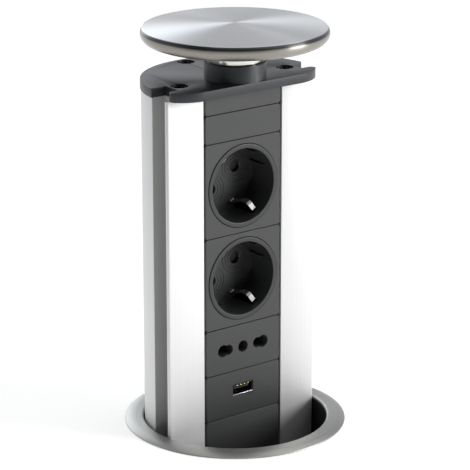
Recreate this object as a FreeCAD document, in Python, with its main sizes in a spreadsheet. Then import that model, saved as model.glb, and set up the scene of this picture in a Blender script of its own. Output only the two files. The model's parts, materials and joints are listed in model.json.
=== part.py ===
import FreeCAD, Part
import math
import os
import re

import Sketcher

# Pop up desk socket: a tower of socket modules that slides up through a ring in a worktop.
# The origin is on the tower's axis at the worktop's top surface. +Z is up, the modules face -Y.

# Sizes that can be set one by one, in millimetres and degrees
sizes = {
    # Ring in the worktop
    "openingRadius": 48.5, "ringWide": 9.7, "ringEdge": 0.6, "ringTop": 2.1, "ringBevel": 1.5, "ringSeat": 0.3,
    # Sleeve below the ring, its rails and brake pads
    "sleeveWall": 2.3, "sleeveDepth": 66.0, "railDrop": 4.2, "railClear": 0.45,
    "glideWide": 6.4, "glideThick": 2.2, "glideTall": 40.0, "glideGap": 0.1,
    "leafThick": 0.4, "leafRise": 1.5, "leafShort": 1.0,
    # Thrust washer and clamp nut under the worktop
    "worktopThick": 28.0, "nutClear": 0.35, "washerWall": 9.5, "washerThick": 2.0,
    "nutWall": 8.6, "nutHeight": 15.0, "nutSides": 12.0,
    # Small round holes, posts and shanks are drawn with flat sides. Cutting tools run past by the margin
    "holeSides": 12.0, "cupSides": 24.0, "headSides": 6.0, "margin": 1.0,
    # Clearances
    "fitGap": 0.1, "runGap": 0.3, "stopGap": 0.3, "seamGap": 0.2, "pivotGap": 0.15,
    "columnGap": 0.7, "plateGap": 0.3, "lidGap": 0.4, "sideGap": 0.7, "skirtGap": 0.4,
    # Aluminium column
    "wall": 2.0, "grooveDeep": 8.3,
    "grooveFront": 4.9, "grooveRear": 5.8, "panelSet": 6.9, "wingStep": 0.3,
    "tipRound": 1.0, "channelLip": 5.4,
    "portShare": 0.32, "portBite": 0.5, "portHole": 1.75, "sidePortBack": 1.7,
    # Top plate with its neck, and the screws
    "plateThick": 4.7, "cornerRun": 16.9, "plateCorner": 19.6, "neckRadius": 15.9, "neckTall": 8.6,
    "screwSink": 2.7, "sinkRadius": 3.7, "headRadius": 3.2, "headTall": 1.9,
    "screwHole": 2.2, "screwRadius": 1.7, "screwLong": 16.0,
    # Hub ring, lid and their bolt
    "hubRadius": 14.15, "boltRadius": 2.5, "boltHead": 4.1, "boltHeadTall": 3.5,
    "lidLift": 9.6, "flankWide": 3.9, "flankStep": 1.1, "flankCurl": 2.7, "flankRise": 5.9,
    "rimRise": 2.1, "rimStep": 1.3,
    "crownRise": 1.5, "crownStep": 10.8, "lidWall": 1.8, "insetStep": 1.9,
    # End plate with the hole for a supply cord
    "endThick": 4.0, "earStep": 1.2, "cordBack": 16.0, "cordHole": 4.3,
    # Panel modules
    "pitch": 50.0, "faceInset": 0.5, "faceThick": 2.2, "faceBevel": 0.7, "cornerNotch": 0.9,
    "skirtThick": 1.2, "skirtReach": 7.0, "hookReach": 1.3, "hookThick": 1.2, "hookHalf": 3.0,
    "usbBottom": 4.0, "stripTall": 15.0, "topStripTall": 11.0, "baseWall": 1.4, "baseDeep": 37.0,
    "baseInset": 0.3, "slimWall": 1.0, "slimDeep": 30.0,
    # Round earthed socket
    "recessRadius": 19.65, "recessDeep": 17.5, "bezelWide": 2.55, "bezelRise": 0.7,
    "cupWall": 1.55, "floorThick": 2.0, "pinTurn": 33.0, "pinSpacing": 19.0, "pinHole": 3.0,
    "guideWide": 10.7, "guideReach": 1.5, "guideStart": 4.0,
    "strapWide": 3.2, "strapThick": 0.8, "slotWide": 4.2, "slotStart": 3.9, "slotTall": 4.0,
    "strapReach": 3.5, "strapInset": 0.7, "strapFront": 5.0, "strapCrest": 8.0, "strapBend": 15.0,
    "shutterThick": 1.6, "coverLap": 0.9, "postRadius": 1.6,
    "forkGrip": 2.2, "forkThick": 0.6, "forkLong": 5.0, "forkDeep": 12.0, "carrierSide": 4.0,
    # Three pin half module
    "innerPin": 9.5, "outerPin": 13.0, "largeHole": 3.3, "smallHole": 2.8, "centreHole": 3.1,
    "wellWall": 1.7, "wellTall": 6.0, "wellBack": 12.0, "slideThick": 1.4, "slideBridge": 0.8,
    "slimFork": 11.0, "sideForkLong": 8.0, "sideForkStart": 7.5,
    # Charging port half module
    "portWide": 13.4, "portTall": 6.7, "portRaise": 1.35, "shellWide": 13.1, "shellTall": 6.0,
    "shellWall": 0.4, "shellLong": 14.0, "shellSet": 0.5, "tongueWide": 11.1, "tongueThick": 1.9,
    "tongueRise": 1.0, "tongueSet": 1.6, "tongueCorner": 0.8, "contactWide": 1.2, "contactPitch": 2.4,
    "contactThick": 0.25, "boardThick": 1.6, "boardFront": 3.0, "boardDeep": 26.0, "boardNotch": 3.0,
    "coilWide": 14.0, "coilDeep": 8.0, "coilTall": 7.5, "coilSet": 17.5, "coilRim": 1.2,
    "storeWide": 6.0, "storeDeep": 12.0, "storeTall": 7.0, "storeSide": 14.0, "storeBack": 14.0,
    # Terminal block behind the lower blank
    "blockWide": 30.0, "blockTall": 12.0, "blockDeep": 16.0, "blockRise": 22.0,
    "funnelWide": 5.0, "funnelPitch": 9.0,
}

# Sizes that follow from the ones above
derived = {
    "ringRadius": "openingRadius + ringWide",
    "sleeveOuter": "openingRadius + sleeveWall",
    "columnRadius": "openingRadius - columnGap",
    "plateRadius": "openingRadius - plateGap",
    "lidRadius": "openingRadius - lidGap",
    "grooveFloor": "columnRadius - grooveDeep",
    "wingTip": "columnRadius - wingStep",
    "railInner": "grooveFloor + glideGap + railClear",
    "railFront": "-grooveFront + railClear",
    "railRear": "grooveRear - railClear",
    "railMiddle": "(grooveRear - grooveFront) / 2",
    "glideBack": "railInner + glideThick",
    "leafSeat": "glideBack + leafRise",
    "glideMiddle": "-sleeveDepth / 2",
    "leafHalf": "glideTall / 2 - leafShort",
    "nutInner": "sleeveOuter + nutClear",
    "washerBottom": "-worktopThick - washerThick",
    "nutBottom": "washerBottom - fitGap - nutHeight",
    "columnBottom": "-sleeveDepth - stopGap",
    "columnRise": "stripBottom + stripTall + topStripTall",
    "columnTall": "columnRise - columnBottom",
    "grooveMouth": "sqrt(columnRadius^2 - grooveRear^2)",
    "innerRadius": "columnRadius - wall",
    "innerRear": "grooveRear + wall",
    "innerMouth": "sqrt(innerRadius^2 - innerRear^2)",
    "innerSide": "grooveFloor - wall",
    "faceHalf": "pitch / 2 - faceInset",
    "channelHalf": "faceHalf + sideGap",
    "lipBack": "channelLip - panelSet",
    "lipOuter": "channelHalf + wall",
    "portRadius": "portShare * (grooveFloor - faceHalf - hookReach)",
    "rearPort": "innerRadius + portBite - portRadius",
    "sidePort": "innerSide + portBite - portRadius",
    "plateTop": "columnRise + plateThick",
    "plateTip": "plateRadius - wingStep",
    "plateFlat": "plateTip - cornerRun",
    "plateFloor": "grooveFloor - runGap",
    "plateMouth": "sqrt(plateRadius^2 - grooveRear^2)",
    "plateSide": "-grooveFront - runGap",
    "neckTop": "plateTop + neckTall",
    "lidUnder": "neckTop + lidLift",
    "lidUnderRadius": "lidRadius - flankWide",
    "lidRim": "lidUnder + flankRise",
    "lidEdge": "lidRim + rimRise",
    "lidEdgeRadius": "lidRadius - rimStep",
    "lidTop": "lidEdge + crownRise",
    "insertRadius": "lidUnderRadius - insetStep",
    "hollowTop": "lidEdge - lidWall",
    "insertBase": "lidUnder + stopGap",
    "boltBore": "boltRadius + fitGap",
    "headBottom": "columnRise - boltHeadTall",
    "endBottom": "columnBottom - endThick",
    "earRadius": "sleeveOuter - earStep",
    "earMouth": "sqrt(earRadius^2 - innerRear^2)",
    "moduleHalf": "pitch / 2 - seamGap",
    "slimHalf": "pitch / 4 - seamGap",
    "usbMiddle": "usbBottom + pitch / 4",
    "threeMiddle": "usbBottom + 3 * pitch / 4",
    "lowerMiddle": "usbBottom + 3 * pitch / 2",
    "upperMiddle": "lowerMiddle + pitch",
    "stripBottom": "upperMiddle + pitch / 2",
    "baseSide": "faceHalf - skirtThick - skirtGap",
    "baseStart": "faceThick + fitGap",
    "cupRadius": "recessRadius + cupWall",
    "bezelRadius": "recessRadius + bezelWide",
    "floorBack": "recessDeep + floorThick",
    "shutterStart": "floorBack + runGap",
    "strapBack": "shutterStart + shutterThick + runGap",
    "strapHalf": "cupRadius - strapInset",
    "strapBulge": "recessRadius - strapReach",
    "pinHalf": "pinSpacing / 2",
    "shutterReach": "pinHalf + pinHole + coverLap",
    "forkStart": "strapBack + strapThick + runGap",
    "forkEnd": "forkStart + forkDeep",
    "wellHalf": "outerPin + largeHole + wellWall",
    "slideStart": "wellBack + runGap",
    "slideHalf": "outerPin + largeHole + coverLap",
    "slideInner": "innerPin - smallHole - coverLap",
    "slideFoot": "largeHole + pivotGap",
    "slimForkStart": "slideStart + slideThick + runGap",
    "slimForkEnd": "slimForkStart + slimFork",
    "slimSide": "baseSide - slimWall",
    "shellFloor": "portRaise - shellTall / 2",
    "tongueFloor": "portRaise + tongueRise - tongueThick / 2",
    "boardBack": "boardFront + boardDeep",
    "blockBottom": "columnBottom + blockRise",
}

doc = FreeCAD.newDocument("DeskSocket")
sheet = doc.addObject("Spreadsheet::Sheet", "Sizes")
for row, (alias, size) in enumerate(sizes.items(), start=1):
    sheet.set(f"A{row}", alias)
    sheet.set(f"B{row}", str(size))
    sheet.setAlias(f"B{row}", alias)
doc.recompute()

pieces = []
portSpots = [("0", "rearPort"), ("sidePort", "sidePortBack"), ("-sidePort", "sidePortBack")]
sides = ("", "-")
tiny = 1e-6


def formula(text):
    # Plain names become cells of the sheet, derived names become their own formula
    def swap(found):
        word = found.group(0)
        if word in derived:
            return "(" + formula(derived[word]) + ")"
        return "Sizes." + word if word in sizes else word
    return re.sub(r"[A-Za-z]\w*", swap, text)


def worth(text):
    return sheet.evalExpression(formula(text))


def bind(item, **fields):
    for field, text in fields.items():
        item.setExpression(field, formula(text))
    return item


def place(item, spot=("0", "0", "0"), axis=None, turn="0"):
    if axis:
        item.Placement = FreeCAD.Placement(FreeCAD.Vector(), FreeCAD.Rotation(axis, worth(turn)))
        item.setExpression("Placement.Rotation.Angle", formula(turn))
    for letter, text in zip("xyz", spot):
        item.setExpression("Placement.Base." + letter, formula(text))
    return item


def keep(item, label):
    # A finished sub-part of the product
    item.Label = label
    pieces.append(item)
    return item


# Primitives whose sizes are formulas

def box(corner, size):
    item = doc.addObject("Part::Box", "Block")
    bind(item, Length=size[0], Width=size[1], Height=size[2])
    return place(item, corner)


def centredBox(wide, front, deep, bottom, tall):
    return box((f"-({wide}) / 2", front, bottom), (wide, deep, tall))


def cylinder(radius, height, spot=("0", "0", "0"), corners=None):
    # Round, or with as many flat sides as there are corners
    if corners:
        item = doc.addObject("Part::Prism", "Sided")
        bind(item, Polygon=corners, Circumradius=radius, Height=height)
    else:
        item = doc.addObject("Part::Cylinder", "Round")
        bind(item, Radius=radius, Height=height)
    return place(item, spot)


def inward(radius, depth, spot, corners=None):
    # The same from the panel into the tower, along +Y
    return place(cylinder(radius, depth, spot, corners), spot, FreeCAD.Vector(-1, 0, 0), "90")


def fuse(items):
    item = doc.addObject("Part::MultiFuse", "Joined")
    item.Shapes = items
    item.Refine = True
    return item


def cut(base, tools):
    item = doc.addObject("Part::Cut", "Trimmed")
    item.Base = base
    item.Tool = tools[0] if len(tools) == 1 else fuse(tools)
    item.Refine = True
    return item


def common(items):
    item = doc.addObject("Part::MultiCommon", "Shared")
    item.Shapes = items
    item.Refine = True
    return item


def gather(items):
    item = doc.addObject("Part::Compound", "Group")
    item.Links = items
    return item


def bore(radius, x, y, bottom, height, corners=None):
    # An upright hole through a piece, or into its top
    return cylinder(radius, f"{height} + 2 * margin", (x, y, f"{bottom} - margin"), corners)


# Bodies with sketches

def newBody(label):
    return doc.addObject("PartDesign::Body", label)


def newSketch(body, plane, level="0"):
    sketch = body.newObject("Sketcher::SketchObject", body.Name + "Sketch")
    support = next(item for item in body.Origin.OriginFeatures if item.Role == plane)
    sketch.AttachmentSupport = [(support, "")]
    sketch.MapMode = "FlatFace"
    sketch.setExpression("AttachmentOffset.Base.z", formula(level))
    return sketch


def tie(sketch, edge, end, x, y):
    # Ties a point of the sketch to its place on the sheet
    for kind, axis, text in (("DistanceX", -2, x), ("DistanceY", -1, y)):
        if text == "0":
            sketch.addConstraint(Sketcher.Constraint("PointOnObject", edge, end, axis))
        else:
            number = sketch.addConstraint(Sketcher.Constraint(kind, -1, 1, edge, end, worth(text)))
            sketch.setExpression(f"Constraints[{number}]", formula(text))


def tieRadius(sketch, edge, radius):
    number = sketch.addConstraint(Sketcher.Constraint("Radius", edge, worth(radius)))
    sketch.setExpression(f"Constraints[{number}]", formula(radius))


def arcBetween(start, end, radius, side):
    # side 1 runs anticlockwise from start to end, side -1 clockwise
    chord = end - start
    rise = math.sqrt(max(radius ** 2 - (chord.Length / 2) ** 2, 0))
    across = FreeCAD.Vector(-chord.y, chord.x, 0).normalize()
    centre = (start + end) * 0.5 + across * rise * side
    ends = (start, end) if side > 0 else (end, start)
    angles = [math.atan2(spot.y - centre.y, spot.x - centre.x) for spot in ends]
    return Part.ArcOfCircle(Part.Circle(centre, FreeCAD.Vector(0, 0, 1), radius), *angles)


def outline(sketch, points):
    # A closed outline. A point is (x, y), or (x, y, radius, side) where an arc leads to it
    spots = [FreeCAD.Vector(worth(point[0]), worth(point[1]), 0) for point in points]
    first = sketch.GeometryCount
    ends = []
    for index, point in enumerate(points):
        start, end = spots[index - 1], spots[index]
        if len(point) == 2:
            sketch.addGeometry(Part.LineSegment(start, end), False)
            ends.append((1, 2))
        else:
            edge = sketch.addGeometry(arcBetween(start, end, worth(point[2]), point[3]), False)
            tieRadius(sketch, edge, point[2])
            ends.append((1, 2) if point[3] > 0 else (2, 1))
    for index, point in enumerate(points):
        after = (index + 1) % len(points)
        sketch.addConstraint(Sketcher.Constraint(
            "Coincident", first + index, ends[index][1], first + after, ends[after][0]))
        tie(sketch, first + index, ends[index][1], point[0], point[1])
    return sketch


def mirrored(points):
    # The left half of an outline from its right half, in the same sense of rotation
    flipped = [("-(" + point[0] + ")", point[1]) for point in reversed(points)]
    for index, point in enumerate(reversed(points[1:]), start=1):
        following = points[len(points) - index]
        if len(following) == 4:
            flipped[index] = flipped[index] + following[2:]
    return flipped


def rectangle(sketch, left, bottom, right, top):
    return outline(sketch, [(left, bottom), (right, bottom), (right, top), (left, top)])


def circle(sketch, x, y, radius):
    centre = FreeCAD.Vector(worth(x), worth(y), 0)
    edge = sketch.addGeometry(Part.Circle(centre, FreeCAD.Vector(0, 0, 1), worth(radius)), False)
    tieRadius(sketch, edge, radius)
    tie(sketch, edge, 3, x, y)


def pad(body, sketch, length, kind="Pad"):
    feature = body.newObject("PartDesign::" + kind, body.Name + kind)
    feature.Profile = sketch
    return bind(feature, Length=length)


def revolve(body, sketch):
    feature = body.newObject("PartDesign::Revolution", body.Name + "Revolution")
    feature.Profile = sketch
    feature.ReferenceAxis = (sketch, ["V_Axis"])
    feature.Angle = 360
    return feature


def dress(body, kind, size, test):
    # A fillet or chamfer on the edges that the test picks
    doc.recompute()
    base = body.Tip
    names = [f"Edge{index + 1}" for index, edge in enumerate(base.Shape.Edges) if test(edge)]
    feature = body.newObject("PartDesign::" + kind, body.Name + kind)
    feature.Base = (base, names)
    return bind(feature, **{"Radius" if kind == "Fillet" else "Size": size})


def turned(label, points):
    # A piece turned about an upright axis
    body = newBody(label)
    revolve(body, outline(newSketch(body, "XZ_Plane"), points))
    return keep(body, label)


# Ring and sleeve

def makeRing():
    # Its inner rim sits on the sleeve, the rest lies on the worktop
    turned("trim_ring", [
        ("openingRadius", "ringSeat"), ("openingRadius", "ringTop"), ("ringRadius - ringBevel", "ringTop"),
        ("ringRadius", "ringEdge"), ("ringRadius", "0"), ("sleeveOuter + fitGap", "0"),
        ("sleeveOuter + fitGap", "ringSeat"),
    ])


def makeSleeve():
    # A tube with an upright rail in each groove of the column, and a pocket for each brake pad
    body = newBody("guide_sleeve")
    revolve(body, outline(newSketch(body, "XZ_Plane"), [
        ("openingRadius", "-sleeveDepth"), ("sleeveOuter", "-sleeveDepth"),
        ("sleeveOuter", "ringSeat"), ("openingRadius", "ringSeat"),
    ]))
    rails = newSketch(body, "XY_Plane", "-sleeveDepth")
    pockets = newSketch(body, "XY_Plane", "glideMiddle + glideTall / 2")
    for side in sides:
        rectangle(rails, f"{side}railInner", "railFront", f"{side}(openingRadius + fitGap)", "railRear")
        rectangle(pockets, f"{side}(railInner - runGap)", "railMiddle - glideWide / 2 - fitGap",
                  f"{side}leafSeat", "railMiddle + glideWide / 2 + fitGap")
    pad(body, rails, "sleeveDepth - railDrop")
    pad(body, pockets, "glideTall", "Pocket")
    keep(body, "guide_sleeve")


def makeGlide(label, side):
    # A brake pad in the rail, pushed onto the groove's floor by a bent leaf spring
    body = newBody(label)
    sketch = newSketch(body, "XY_Plane", "glideMiddle - glideTall / 2 + fitGap")
    rectangle(sketch, f"{side}(grooveFloor + glideGap)", "railMiddle - glideWide / 2",
              f"{side}glideBack", "railMiddle + glideWide / 2")
    pad(body, sketch, "glideTall - 2 * fitGap")
    face = worth("grooveFloor + glideGap")
    dress(body, "Chamfer", "railClear", lambda edge: edge.BoundBox.ZLength < tiny
          and edge.BoundBox.XLength < tiny and abs(abs(edge.BoundBox.XMin) - face) < tiny)
    keep(body, label)
    leaf = newBody(label + "_spring")
    sketch = newSketch(leaf, "XZ_Plane", "-railMiddle - glideWide / 2 + leafShort")
    outline(sketch, [
        (f"{side}(leafSeat - leafThick)", "glideMiddle - leafHalf"),
        (f"{side}leafSeat", "glideMiddle - leafHalf"),
        (f"{side}(glideBack + leafThick)", "glideMiddle"),
        (f"{side}leafSeat", "glideMiddle + leafHalf"),
        (f"{side}(leafSeat - leafThick)", "glideMiddle + leafHalf"),
        (f"{side}glideBack", "glideMiddle"),
    ])
    pad(leaf, sketch, "glideWide - 2 * leafShort")
    keep(leaf, label + "_spring")


def makeClamp():
    # The washer and the nut below it have the same twelve sides
    for label, wide, bottom, height in (
            ("thrust_washer", "nutInner + washerWall", "washerBottom", "washerThick"),
            ("clamp_nut", "nutInner + nutWall", "nutBottom", "nutHeight")):
        outside = cylinder(wide, height, ("0", "0", bottom), "nutSides")
        keep(cut(outside, [bore("nutInner", "0", "0", bottom, height)]), label)


# Column, plates and lid

def makeColumn():
    # One extrusion: rear arc, guide groove and wing on each side, lips that hold the modules,
    # and a round port for a screw at the rear and beside each groove
    right = [
        ("channelHalf", "-panelSet"), ("wingTip - tipRound", "-panelSet"),
        ("wingTip", "tipRound - panelSet", "tipRound", 1), ("wingTip", "-grooveFront"),
        ("grooveFloor", "-grooveFront"), ("grooveFloor", "grooveRear"), ("grooveMouth", "grooveRear"),
    ]
    inside = [
        ("innerMouth", "innerRear"), ("innerSide", "innerRear"), ("innerSide", "-grooveFront"),
        ("lipOuter", "-grooveFront"), ("lipOuter", "lipBack"), ("channelHalf", "lipBack"),
    ]
    left = mirrored(right)
    left[0] = left[0] + ("columnRadius", 1)
    inside[0] = inside[0] + ("innerRadius", -1)
    body = newBody("column_section")
    section = newSketch(body, "XY_Plane", "columnBottom")
    outline(section, right + left + mirrored([point[:2] for point in inside]) + inside)
    pad(body, section, "columnTall")
    ports = [cylinder("portRadius", "columnTall", (x, y, "columnBottom"), "holeSides") for x, y in portSpots]
    holes = [bore("portHole", x, y, "columnBottom", "columnTall", "holeSides") for x, y in portSpots]
    keep(cut(fuse([body] + ports), holes), "column_profile")


def makeTopPlate():
    # The plate has a notch over each groove, sunk screws, and the neck that carries the lid
    right = [
        ("plateFlat", "-neckRadius"), ("plateTip", "plateSide", "plateCorner", 1),
        ("plateFloor", "plateSide"), ("plateFloor", "grooveRear"), ("plateMouth", "grooveRear"),
    ]
    left = mirrored(right)
    left[0] = left[0] + ("plateRadius", 1)
    body = newBody("plate_blank")
    section = newSketch(body, "XY_Plane", "columnRise")
    outline(section, right + left)
    pad(body, section, "plateThick")
    neck = newSketch(body, "XY_Plane", "columnRise")
    circle(neck, "0", "0", "neckRadius")
    pad(body, neck, "plateThick + neckTall")
    tools = [bore("boltBore", "0", "0", "columnRise", "plateThick + neckTall", "holeSides")]
    for x, y in portSpots:
        tools.append(bore("screwHole", x, y, "columnRise", "plateThick", "holeSides"))
        sink = (x, y, "plateTop - screwSink")
        tools.append(cylinder("sinkRadius", "screwSink + margin", sink, "holeSides"))
    keep(cut(body, tools), "top_plate")


def screw(x, y, seatAt, turn):
    # Head up, or head down when it is turned over
    head = cylinder("headRadius", "headTall", corners="holeSides")
    shank = cylinder("screwRadius", "screwLong + headTall / 2", ("0", "0", "-screwLong"), "holeSides")
    return place(fuse([head, shank]), (x, y, seatAt), FreeCAD.Vector(1, 0, 0), turn)


def makeScrews():
    keep(gather([screw(x, y, "plateTop - screwSink", "0") for x, y in portSpots]), "top_screws")
    keep(gather([screw(x, y, "endBottom", "180") for x, y in portSpots]), "end_screws")


def makeLid():
    # A turned cap over an insert, on the hub. One long bolt holds all of it to the neck
    cap = newBody("lid_cap")
    revolve(cap, outline(newSketch(cap, "XZ_Plane"), [
        ("0", "lidUnder"), ("lidUnderRadius", "lidUnder"),
        ("lidRadius - flankStep", "lidUnder + flankCurl"), ("lidRadius", "lidRim"),
        ("lidEdgeRadius", "lidEdge"), ("lidEdgeRadius - crownStep", "lidTop"), ("0", "lidTop"),
    ]))
    hollow = cylinder("insertRadius + fitGap", "hollowTop - lidUnder + margin",
                      ("0", "0", "lidUnder - margin"), "cupSides")
    keep(cut(cap, [hollow]), "lid")
    insertTall = "hollowTop - insertBase - fitGap"
    hub = cylinder("hubRadius", "insertBase - neckTop", ("0", "0", "neckTop"))
    keep(cut(hub, [bore("boltBore", "0", "0", "neckTop", "insertBase - neckTop", "holeSides")]), "lid_hub")
    insert = cylinder("insertRadius", insertTall, ("0", "0", "insertBase"), "cupSides")
    keep(cut(insert, [bore("boltBore", "0", "0", "insertBase", insertTall, "holeSides")]), "lid_insert")
    head = cylinder("boltHead", "boltHeadTall", ("0", "0", "headBottom"), "headSides")
    shank = cylinder("boltRadius", "hollowTop - headBottom - fitGap", ("0", "0", "headBottom"), "holeSides")
    keep(fuse([head, shank]), "lid_bolt")


def makeEndPlate():
    # Closes the column's foot. Its rear rim is wider than the sleeve's bore and stops the lift
    right = [("wingTip", "-panelSet"), ("wingTip", "grooveRear"), ("earMouth", "innerRear")]
    left = mirrored(right)
    left[0] = left[0] + ("earRadius", 1)
    body = newBody("end_blank")
    section = newSketch(body, "XY_Plane", "endBottom")
    outline(section, right + left)
    pad(body, section, "endThick")
    tools = [bore("cordHole", "0", "cordBack", "endBottom", "endThick")]
    for x, y in portSpots:
        tools.append(bore("screwHole", x, y, "endBottom", "endThick", "holeSides"))
    keep(cut(body, tools), "end_plate")


# Panel modules. Each is drawn about the middle of its own front face, then set into the column

def faceBody(label, low, high):
    # The front plate of a module: notched corners, bevelled sides, and two skirts with a hook each
    body = newBody(label)
    plate = newSketch(body, "XZ_Plane", "-faceThick")
    right = [
        ("faceHalf - cornerNotch", low), ("faceHalf - cornerNotch", f"{low} + cornerNotch"),
        ("faceHalf", f"{low} + cornerNotch"), ("faceHalf", f"{high} - cornerNotch"),
        ("faceHalf - cornerNotch", f"{high} - cornerNotch"), ("faceHalf - cornerNotch", high),
    ]
    outline(plate, right + mirrored(right))
    pad(body, plate, "faceThick")
    skirts = newSketch(body, "XZ_Plane", "-faceThick - skirtReach")
    hooks = newSketch(body, "XZ_Plane", "-channelLip - fitGap - hookThick")
    for side in sides:
        rectangle(skirts, f"{side}(faceHalf - skirtThick)", f"{low} + cornerNotch",
                  f"{side}faceHalf", f"{high} - cornerNotch")
        rectangle(hooks, f"{side}(faceHalf - skirtThick)", f"({low} + {high}) / 2 - hookHalf",
                  f"{side}(faceHalf + hookReach)", f"({low} + {high}) / 2 + hookHalf")
    pad(body, skirts, "skirtReach")
    pad(body, hooks, "hookThick")
    edgeAt = worth("faceHalf")
    dress(body, "Chamfer", "faceBevel", lambda edge: edge.BoundBox.YMax < tiny
          and abs(abs(edge.BoundBox.XMin) - edgeAt) < tiny and edge.BoundBox.XLength < tiny)
    return body


def seat(item, middle="0", axis=None, turn="0"):
    return place(item, ("0", "-panelSet", middle), axis, turn)


def makeBlanks():
    for label, low, high in (
            ("top_strip", "stripBottom + stripTall + seamGap", "columnRise - seamGap"),
            ("blank_strip", "stripBottom + seamGap", "stripBottom + stripTall - seamGap"),
            ("lower_blank", "columnBottom + seamGap", "usbBottom - seamGap")):
        keep(seat(faceBody(label, low, high)), label)


def moduleBase(half, wall, deep):
    # An open box behind a module's face
    reach = f"{half} - baseInset"
    outer = centredBox("2 * baseSide", "baseStart", f"{deep} - baseStart", f"-({reach})", f"2 * ({reach})")
    inside = f"{deep} - baseStart - {wall}"
    inner = centredBox(f"2 * (baseSide - {wall})", "baseStart - margin", f"{inside} + margin",
                       f"{wall} - ({reach})", f"2 * ({reach} - {wall})")
    return cut(outer, [inner])


def makeSocketInsert(name, middle, axis):
    # The bezel and the round recess, with pin holes, guide ribs, earth slots and the shutter's post
    bezel = inward("bezelRadius", "bezelRise", ("0", "-bezelRise", "0"))
    cup = inward("cupRadius", "floorBack", ("0", "0", "0"), "cupSides")
    recess = inward("recessRadius", "recessDeep + margin", ("0", "-margin", "0"))
    ribs = [box((start, "guideStart", "-guideWide / 2"),
                ("guideReach + strapInset", "floorBack - guideStart", "guideWide"))
            for start in ("recessRadius - guideReach", "-recessRadius - strapInset")]
    post = inward("postRadius", "strapBack - floorBack", ("0", "floorBack - fitGap", "0"), "holeSides")
    holes = [inward("pinHole", "floorThick + 2 * margin", (f"{side}pinHalf", "recessDeep - margin", "0"),
                    "holeSides") for side in sides]
    slots = [centredBox("slotWide", "slotStart", "floorBack", bottom, "slotTall")
             for bottom in ("recessRadius - slotTall / 4", "-recessRadius - 3 * slotTall / 4")]
    shell = cut(fuse([bezel, cup]), [recess])
    keep(seat(cut(fuse([shell, post] + ribs), holes + slots), middle, axis, "pinTurn"), name + "_insert")


def makeEarthStrap(name, middle, axis):
    # A bent strip: a bar behind the floor and two legs that bow into the recess
    upper = [
        ("strapBack + strapThick", "strapHalf"), ("strapBend", "strapHalf"),
        ("strapCrest", "strapBulge + strapThick"), ("strapFront", "strapHalf"),
        ("strapFront", "strapHalf - strapThick"), ("strapCrest", "strapBulge"),
        ("strapBend", "strapHalf - strapThick"), ("strapBack", "strapHalf - strapThick"),
    ]
    lower = [(x, "-(" + z + ")") for x, z in reversed(upper)]
    body = newBody(name + "_earth_strap")
    outline(newSketch(body, "YZ_Plane", "-strapWide / 2"), upper + lower)
    pad(body, body.Group[-1], "strapWide")
    keep(seat(body, middle, axis, "pinTurn"), name + "_earth_strap")


def makeSocketShutter(name, middle, axis):
    # Two wings that cover the pin holes and turn away about the post
    half = "pinHole + coverLap"
    wings = centredBox("2 * shutterReach", "shutterStart", "shutterThick", f"-({half})", f"2 * ({half})")
    disc = inward("shutterReach", "shutterThick", ("0", "shutterStart", "0"), "cupSides")
    pivot = inward("postRadius + pivotGap", "shutterThick + 2 * margin", ("0", "shutterStart - margin", "0"),
                   "holeSides")
    keep(seat(cut(common([wings, disc]), [pivot]), middle, axis, "pinTurn"), name + "_shutter")


def fork(label, left, long, start, deep):
    # A contact: two leaves above and below the pin, joined behind it
    body = newBody(label)
    back = f"{start} + {deep}"
    above = [
        (back, "forkGrip + forkThick"), (start, "forkGrip + forkThick"),
        (start, "forkGrip"), (f"{back} - forkThick", "forkGrip"),
    ]
    below = [(y, f"-({z})") for y, z in reversed(above)]
    outline(newSketch(body, "YZ_Plane", left), above + below)
    pad(body, body.Group[-1], long)
    return body


def makeEarthedSocket(name, middle):
    axis = FreeCAD.Vector(0, -1, 0)
    face = faceBody(name + "_plate", "-moduleHalf", "moduleHalf")
    opening = inward("cupRadius + fitGap", "faceThick + 2 * margin", ("0", "-margin", "0"), "cupSides")
    keep(seat(cut(face, [opening]), middle), name + "_face")
    makeSocketInsert(name, middle, axis)
    makeEarthStrap(name, middle, axis)
    makeSocketShutter(name, middle, axis)
    contacts = [fork(f"{name}_fork", f"{side}pinHalf - forkLong / 2", "forkLong", "forkStart", "forkDeep")
                for side in sides]
    keep(seat(gather(contacts), middle, axis, "pinTurn"), name + "_contacts")
    bar = centredBox("2 * (pinHalf + carrierSide)", "forkEnd", "baseDeep - forkEnd", "-carrierSide",
                     "2 * carrierSide")
    stem = centredBox("2 * postRadius", "strapBack + strapThick", "forkEnd - strapBack - strapThick + margin",
                      "-postRadius", "2 * postRadius")
    carrier = place(fuse([bar, stem]), ("0", "0", "0"), axis, "pinTurn")
    base = fuse([moduleBase("moduleHalf", "baseWall", "baseDeep"), carrier])
    keep(seat(base, middle), name + "_base")


def pinWell(radius, x):
    return inward(radius, "wellBack + 2 * margin", (x, "-margin", "0"), "holeSides")


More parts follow.
